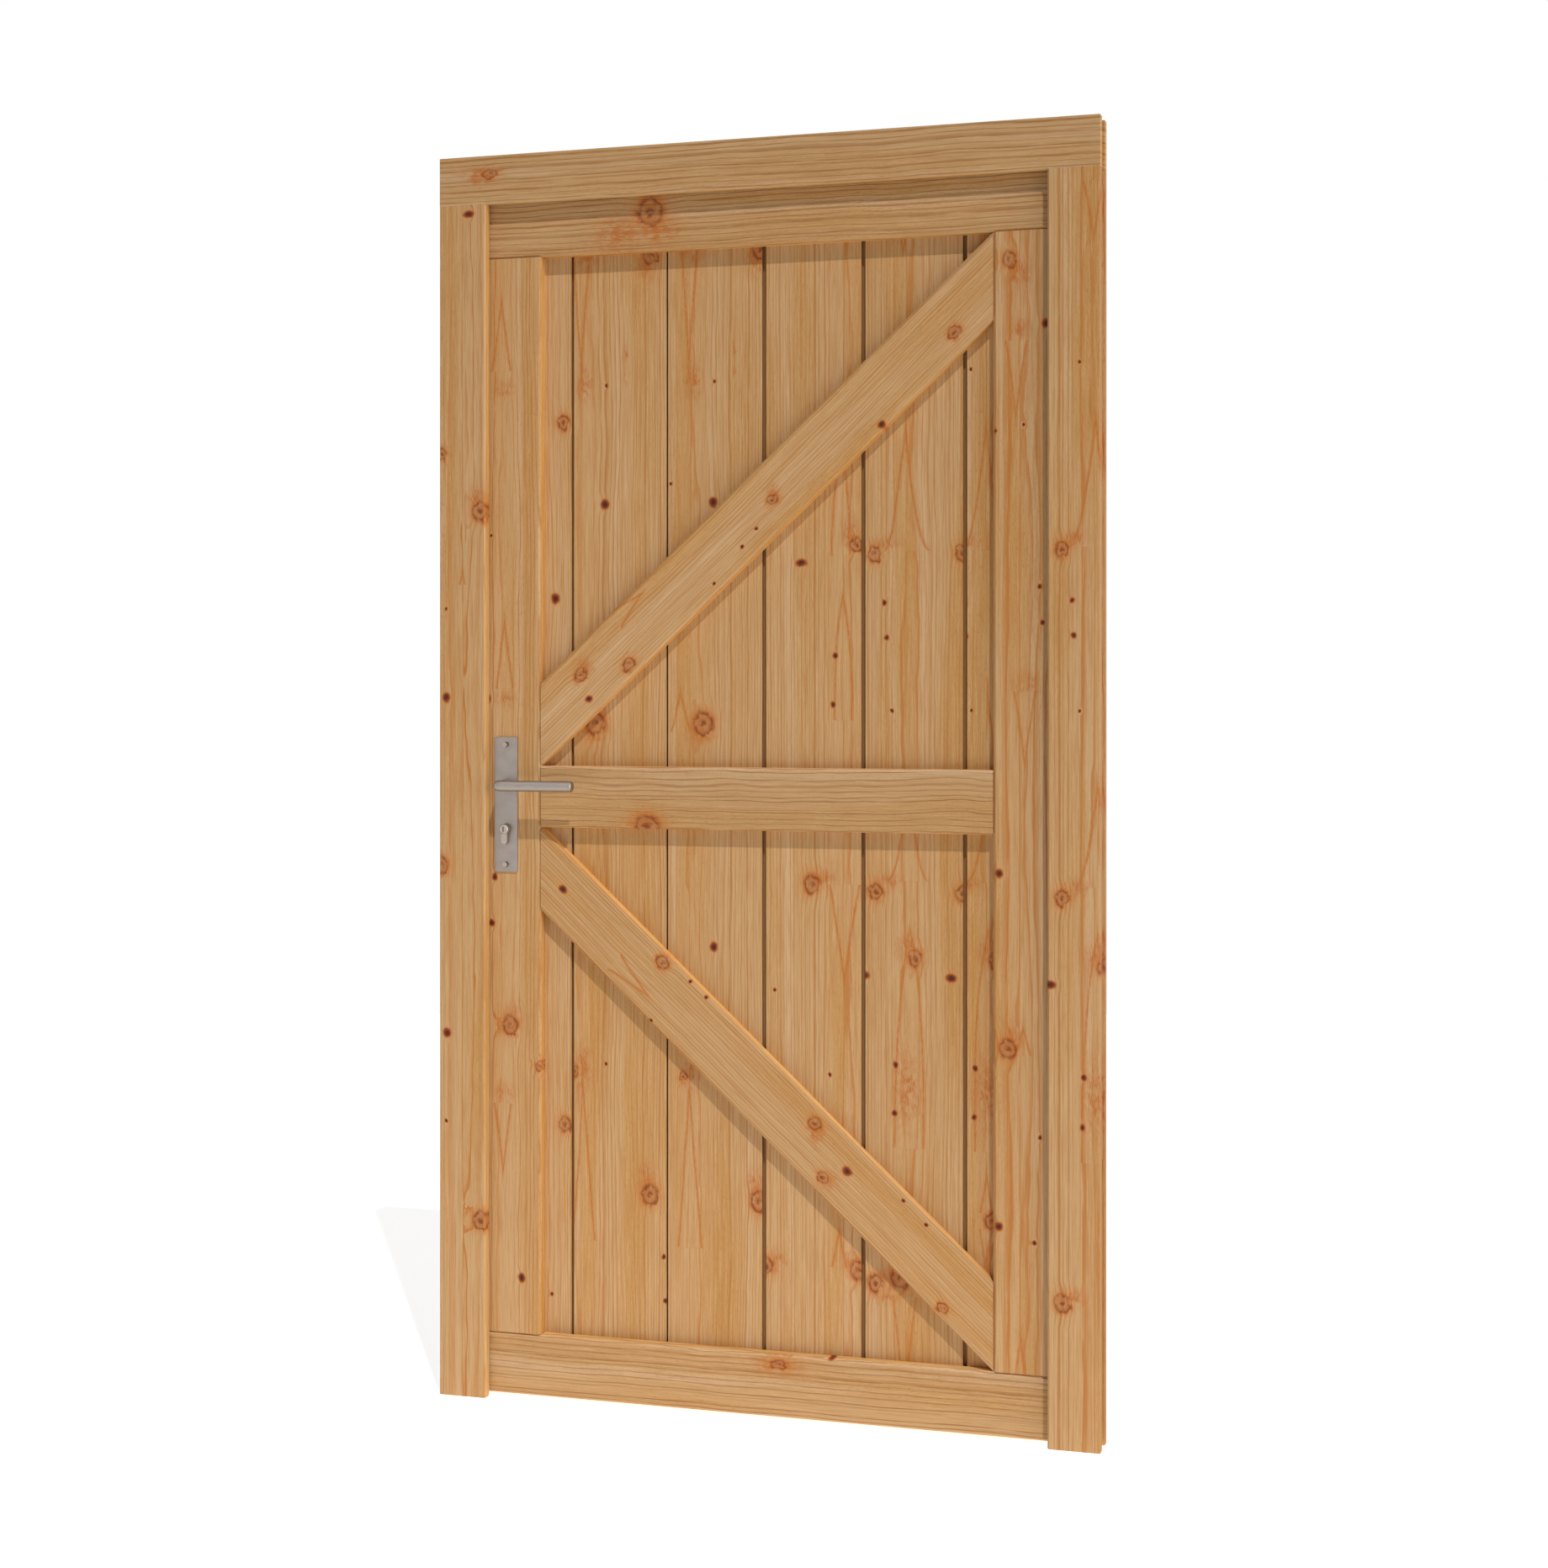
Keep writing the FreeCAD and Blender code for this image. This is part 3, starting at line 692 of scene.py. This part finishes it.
rails = {
    "head": {
        "seed": 11.0,
        "heart": -0.14,
        "knots": [(0.089, 0.048, 0.0050, 2.2)],
        "patches": [(0.072, 0.046, 0.0110, 2.0)],
    },
    "top_rail": {
        "seed": 12.0,
        "heart": -0.10,
        "knots": [(0.290, 0.062, 0.0190, 0.9)],
        "patches": [(0.235, 0.027, 0.0260, 1.2), (0.310, 0.030, 0.0180, 1.5)],
    },
    "middle_rail": {
        "seed": 13.0,
        "tone": 0.91,
        "heart": 0.22,
        "knots": [(0.184, 0.006, 0.0130, 1.3)],
        "patches": [(0.184, 0.014, 0.0140, 1.8)],
    },
    "bottom_rail": {
        "seed": 14.0,
        "heart": -0.09,
        "knots": [(0.506, 0.084, 0.0060, 2.0)],
        "deadKnots": [(0.592, 0.102, 0.0045)],
        "patches": [(0.506, 0.084, 0.0120, 2.5)],
    },
}
for name, member in rails.items():
    low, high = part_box(name)
    figure = {**railGrain, **member}
    figure.update(turn=0.0, corner=(low.x, 0.0, low.z), faceDepth=low.y)
    if name == "middle_rail":
        figure["ends"] = (0.0, high.x - low.x)
    dress(name, timberMaterial("timber_" + name, figure))

# braces: along from the lock stile, across from the corner where they start
braces = {
    "upper_brace": {
        "turn": 42.78,
        "heart": 0.16,
        "knots": [
            (0.968, 0.030, 0.0078), (0.579, 0.044, 0.0067), (0.225, 0.017, 0.0080), (0.153, 0.061, 0.0080),
        ],
        "deadKnots": [
            (0.787, 0.006, 0.0053), (0.136, 0.023, 0.0055), (0.529, 0.029, 0.0028), (0.492, 0.024, 0.0028),
            (0.418, 0.013, 0.0024),
        ],
        "tongues": [(0.255, 0.086, 0.0160, 4.0)],
        "patches": [(0.168, 0.068, 0.0120, 0.8), (0.590, 0.052, 0.0100, 0.8)],
        "seed": 15.0,
    },
    "lower_brace": {
        "turn": -42.69,
        "heart": 0.07,
        "knots": [
            (0.300, -0.014, 0.0080), (0.654, -0.022, 0.0080), (0.720, -0.076, 0.0068),
            (0.993, -0.085, 0.0062),
        ],
        "deadKnots": [
            (0.097, -0.047, 0.0060), (0.741, -0.040, 0.0066), (0.354, -0.004, 0.0028),
            (0.390, -0.004, 0.0028), (0.349, -0.097, 0.0028), (0.836, -0.008, 0.0028),
            (0.886, -0.010, 0.0028),
        ],
        "tongues": [(0.240, -0.070, 0.0160, 5.0)],
        "patches": [(0.668, -0.032, 0.0110, 0.9), (0.732, -0.070, 0.0110, 0.9)],
        "seed": 16.0,
        "tone": 0.955,
        "ringStrength": (0.60, 1.0),
    },
}
for name, member in braces.items():
    low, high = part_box(name)
    start = low.z if member["turn"] > 0.0 else high.z
    figure = {**member, "corner": (low.x, 0.0, start), "faceDepth": low.y}
    dress(name, timberMaterial("timber_" + name, figure))
print("rails and braces dressed")

# satin steel and nickel: brushed by a stretched noise
metals = {
    "satin": {
        "light": (0.338, 0.298, 0.270, 1.0),
        "dark": (0.308, 0.266, 0.240, 1.0),
        "brush": (40.0, 900.0, 60.0),
        "brushRange": (0.3, 0.7),
        "roughness": (0.38, 0.44),
        "bumpStrength": 0.08,
        "bumpDepth": 0.0001,
    },
    "nickel": {
        "light": (0.44, 0.375, 0.33, 1.0),
        "dark": (0.40, 0.335, 0.29, 1.0),
        "brush": (60.0, 60.0, 60.0),
        "brushRange": (0.3, 0.7),
        "roughness": (0.34, 0.40),
        "bumpStrength": 0.08,
        "bumpDepth": 0.0001,
    },
}


def metalMaterial(name, metal):
    material = bpy.data.materials.new(name)
    material.use_nodes = True
    tree = material.node_tree
    place = stretched(tree, objectPlace(tree), metal["brush"], seed=1.0)
    grain = noiseNode(tree, place, detail=3.0, roughness=0.6)
    colour = mixNode(tree, rangeNode(tree, grain, *metal["brushRange"]), metal["dark"], metal["light"])
    roughness = rangeNode(tree, grain, *metal["brushRange"], *metal["roughness"])
    shader = tree.nodes["Principled BSDF"]
    shader.inputs["Metallic"].default_value = 1.0
    tree.links.new(colour, shader.inputs["Base Color"])
    tree.links.new(roughness, shader.inputs["Roughness"])
    addBump(tree, shader, grain, metal["bumpStrength"], metal["bumpDepth"])
    return material


satinSteel = metalMaterial("satin_steel", metals["satin"])
nickel = metalMaterial("nickel_plate", metals["nickel"])
for subpart in frame["record"]["subparts"]:
    if subpart["material_slot"] == "satin_steel":
        dress(subpart["node"], satinSteel)
    if subpart["material_slot"] == "nickel_cylinder":
        dress(subpart["node"], nickel)
print("metal dressed")

# countersunk screws: one is modelled with its head at the origin facing up, the others are copies
screwShape = {
    "sides": 28,
    "headRadius": 0.0037,
    "rim": 0.0001,
    "headDepth": 0.0017,
    "shankRadius": 0.0020,
    "shankLength": 0.0040,
    "crossLength": 0.0036,
    "crossWidth": 0.0008,
    "crossDepth": 0.0004,
    "proud": 0.0001,  # on plates without a sunk hole
    "sunk": 0.0006,  # below the face of the handle plates
    "turnStep": 37.0,
    "smoothAngle": 30.0,
}
nearly = 1e-6


def pickDown(piece):
    bpy.ops.object.mode_set(mode="OBJECT")
    lowest = min(corner.co.z for corner in piece.data.vertices)
    for corner in piece.data.vertices:
        corner.select = corner.co.z < lowest + nearly
    for line in piece.data.edges:
        line.select = False
    for face in piece.data.polygons:
        face.select = all(piece.data.vertices[corner].select for corner in face.vertices)
    bpy.ops.object.mode_set(mode="EDIT")


bpy.ops.object.select_all(action="DESELECT")
rim, headRadius = screwShape["rim"], screwShape["headRadius"]
rimPlace = (0.0, 0.0, -rim / 2.0)
bpy.ops.mesh.primitive_cylinder_add(
    vertices=screwShape["sides"], radius=headRadius, depth=rim, location=rimPlace
)
firstScrew = bpy.context.object
bpy.ops.object.transform_apply(location=True, rotation=True, scale=True)
narrowing = screwShape["shankRadius"] / headRadius
bpy.ops.object.mode_set(mode="EDIT")
bpy.ops.mesh.select_mode(type="FACE")
pickDown(firstScrew)
bpy.ops.mesh.extrude_region_move(TRANSFORM_OT_translate={"value": (0.0, 0.0, -screwShape["headDepth"])})
bpy.ops.transform.resize(value=(narrowing, narrowing, 1.0), center_override=(0.0, 0.0, 0.0))
bpy.ops.mesh.extrude_region_move(TRANSFORM_OT_translate={"value": (0.0, 0.0, -screwShape["shankLength"])})
bpy.ops.object.mode_set(mode="OBJECT")
bpy.ops.object.select_all(action="DESELECT")
crossSize = (screwShape["crossLength"], screwShape["crossWidth"], 2.0 * screwShape["crossDepth"])
for turn in (0.0, 90.0):  # the cross recess, cut by two bars
    bpy.ops.mesh.primitive_cube_add(size=1.0, rotation=(0.0, 0.0, math.radians(turn)))
    bar = bpy.context.object
    bar.scale = crossSize
    bpy.ops.object.transform_apply(location=True, rotation=True, scale=True)
    bpy.ops.object.select_all(action="DESELECT")
    firstScrew.select_set(True)
    bpy.context.view_layer.objects.active = firstScrew
    cut = firstScrew.modifiers.new("cross", "BOOLEAN")
    cut.object = bar
    cut.solver = "EXACT"
    bpy.ops.object.modifier_apply(modifier="cross")
    bpy.ops.object.select_all(action="DESELECT")
    bar.select_set(True)
    bpy.context.view_layer.objects.active = bar
    bpy.ops.object.delete()
firstScrew.select_set(True)
bpy.context.view_layer.objects.active = firstScrew
bpy.ops.object.shade_smooth_by_angle(angle=math.radians(screwShape["smoothAngle"]))
firstScrew.data.materials.append(nickel)

inPlate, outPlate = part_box("inner_plate"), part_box("outer_plate")
faceplate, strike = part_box("lock_faceplate"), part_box("strike_plate")
plateX = (inPlate[0].x + inPlate[1].x) / 2.0
edgeY = (faceplate[0].y + faceplate[1].y) / 2.0
screwEnds = {"plate": 0.012, "faceplate": 0.0095, "strike": 0.010}  # from a plate's end to its screw
hingeScrews = [(-0.032, 0.006), (-0.011, 0.019), (0.011, 0.019), (0.032, 0.006)]  # up from the middle, depth
hingeFaces = {"door": -0.0548, "frame": -0.0542}  # where the two plates of a hinge face each other
screwSites = []
for end, inward in ((0, 1.0), (1, -1.0)):  # the lower and the upper end of each plate
    plateZ = inPlate[end].z + inward * screwEnds["plate"]
    faceZ = faceplate[end].z + inward * screwEnds["faceplate"]
    strikeZ = strike[end].z + inward * screwEnds["strike"]
    onInner = (plateX, inPlate[0].y + screwShape["sunk"], plateZ)
    onOuter = (plateX, outPlate[1].y - screwShape["sunk"], plateZ)
    onFaceplate = (faceplate[0].x - screwShape["proud"], edgeY, faceZ)
    onStrike = (strike[1].x + screwShape["proud"], edgeY, strikeZ)
    screwSites.append(("inner_plate", "door_leaf", onInner, (0.0, -1.0, 0.0)))
    screwSites.append(("outer_plate", "door_leaf", onOuter, (0.0, 1.0, 0.0)))
    screwSites.append(("faceplate", "door_leaf", onFaceplate, (-1.0, 0.0, 0.0)))
    screwSites.append(("strike", "door_frame", onStrike, (1.0, 0.0, 0.0)))
doorX = hingeFaces["door"] + screwShape["proud"]
frameX = hingeFaces["frame"] - screwShape["proud"]
for level in ("bottom", "middle", "top"):
    low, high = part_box(level + "_hinge_door_leaf")
    for rise, depth in hingeScrews:
        z = (low.z + high.z) / 2.0 + rise
        screwSites.append((level + "_hinge_door", "door_leaf", (doorX, depth, z), (1.0, 0.0, 0.0)))
        screwSites.append((level + "_hinge_frame", "door_frame", (frameX, depth, z), (-1.0, 0.0, 0.0)))
for index, (plate, body, place, facing) in enumerate(screwSites):
    bpy.ops.object.select_all(action="DESELECT")
    firstScrew.select_set(True)
    bpy.context.view_layer.objects.active = firstScrew
    bpy.ops.object.duplicate(linked=False)
    copy = bpy.context.object
    copy.name = "screw_%s_%d" % (plate, index + 1)
    spin = Quaternion((0.0, 0.0, 1.0), math.radians(index * screwShape["turnStep"]))
    copy.location = place
    copy.rotation_euler = (Vector(facing).to_track_quat("Z", "Y") @ spin).to_euler()
    bpy.ops.object.transform_apply(location=True, rotation=True, scale=True)
    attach(copy, body)
bpy.ops.object.select_all(action="DESELECT")
firstScrew.select_set(True)
bpy.context.view_layer.objects.active = firstScrew
bpy.ops.object.delete()
print(len(screwSites), "screws set")

# stage: a white floor that throws light up, white behind it for the camera and for reflections
stage = {
    "white": (1.0, 1.0, 1.0, 1.0),
    "floorSides": 96,
    "floorRadius": 5.0,
    "floorMiddle": (-0.53, 0.0, 0.0),
    "floorColour": (0.8, 0.8, 0.8, 1.0),
    "floorRoughness": 0.9,
    "seenGlow": 0.85,
    "thrownGlow": 0.9,
    "thrownColour": (1.0, 0.95, 0.84, 1.0),
    "fill": 0.06,
}
bpy.ops.object.select_all(action="DESELECT")
bpy.ops.mesh.primitive_circle_add(
    vertices=stage["floorSides"], radius=stage["floorRadius"], fill_type="NGON", location=stage["floorMiddle"]
)
floor = bpy.context.object
floor.name = "floor"
bpy.ops.object.transform_apply(location=True, rotation=True, scale=True)
floorPaint = bpy.data.materials.new("floor_paint")
floorPaint.use_nodes = True
floorTree = floorPaint.node_tree
floorShader = floorTree.nodes["Principled BSDF"]
floorShader.inputs["Base Color"].default_value = stage["floorColour"]
floorShader.inputs["Roughness"].default_value = stage["floorRoughness"]
floorShader.inputs["Specular IOR Level"].default_value = 0.0
fromCamera = floorTree.nodes.new("ShaderNodeLightPath").outputs["Is Camera Ray"]
glowColour = mixNode(floorTree, fromCamera, stage["thrownColour"], stage["white"])
glow = rangeNode(floorTree, fromCamera, 0.0, 1.0, stage["thrownGlow"], stage["seenGlow"])
floorTree.links.new(glowColour, floorShader.inputs["Emission Color"])
floorTree.links.new(glow, floorShader.inputs["Emission Strength"])
floor.data.materials.append(floorPaint)

world = bpy.data.worlds.new("white_room")
bpy.context.scene.world = world
world.use_nodes = True
worldTree = world.node_tree
background = worldTree.nodes["Background"]
background.inputs["Color"].default_value = stage["white"]
path = worldTree.nodes.new("ShaderNodeLightPath")
seen = mathNode(worldTree, "MAXIMUM", path.outputs["Is Camera Ray"], path.outputs["Is Glossy Ray"])
seen = mathNode(worldTree, "MAXIMUM", seen, path.outputs["Is Transmission Ray"])
worldTree.links.new(rangeNode(worldTree, seen, 0.0, 1.0, stage["fill"], 1.0), background.inputs["Strength"])

# a crisp key from the upper right in front and a wide soft light from the right side
lamps = {
    "key": {
        "from": (0.6, -1.0, 1.6),
        "strength": 1.9,
        "angle": 1.2,
        "colour": (1.0, 1.0, 1.0),
    },
    "side": {
        "from": (1.0, -0.28, 0.05),
        "strength": 1.5,
        "angle": 50.0,
        "colour": (1.0, 0.94, 0.84),
    },
}
lampPlace = (2.0, -3.0, 4.0)  # out of the way: a sun lights the same from anywhere
for name, lamp in lamps.items():
    bpy.ops.object.light_add(type="SUN", location=lampPlace)
    sun = bpy.context.object
    sun.name = name
    sun.data.energy = lamp["strength"]
    sun.data.color = lamp["colour"]
    sun.data.angle = math.radians(lamp["angle"])
    sun.rotation_euler = Vector(lamp["from"]).to_track_quat("Z", "Y").to_euler()

# camera: level, to the right of the door, worked out from the photo's vanishing points
view = {
    "place": (0.612, -3.715, 1.155),
    "yaw": 16.85,
    "sensor": 36.0,
    "focalPixels": 2905.0,
    "horizonRow": 822.0,
    "photoHeight": 1864.0,
}
upright = math.radians(90.0)  # unturned, a camera looks straight down
bpy.ops.object.camera_add(location=view["place"], rotation=(upright, 0.0, math.radians(view["yaw"])))
camera = bpy.context.object
camera.data.sensor_width = view["sensor"]
camera.data.lens = view["sensor"] * view["focalPixels"] / view["photoHeight"]
camera.data.shift_y = (view["horizonRow"] - view["photoHeight"] / 2.0) / view["photoHeight"]
bpy.context.scene.camera = camera
bpy.context.scene.view_settings.view_transform = "Standard"
print("stage, light and camera set")
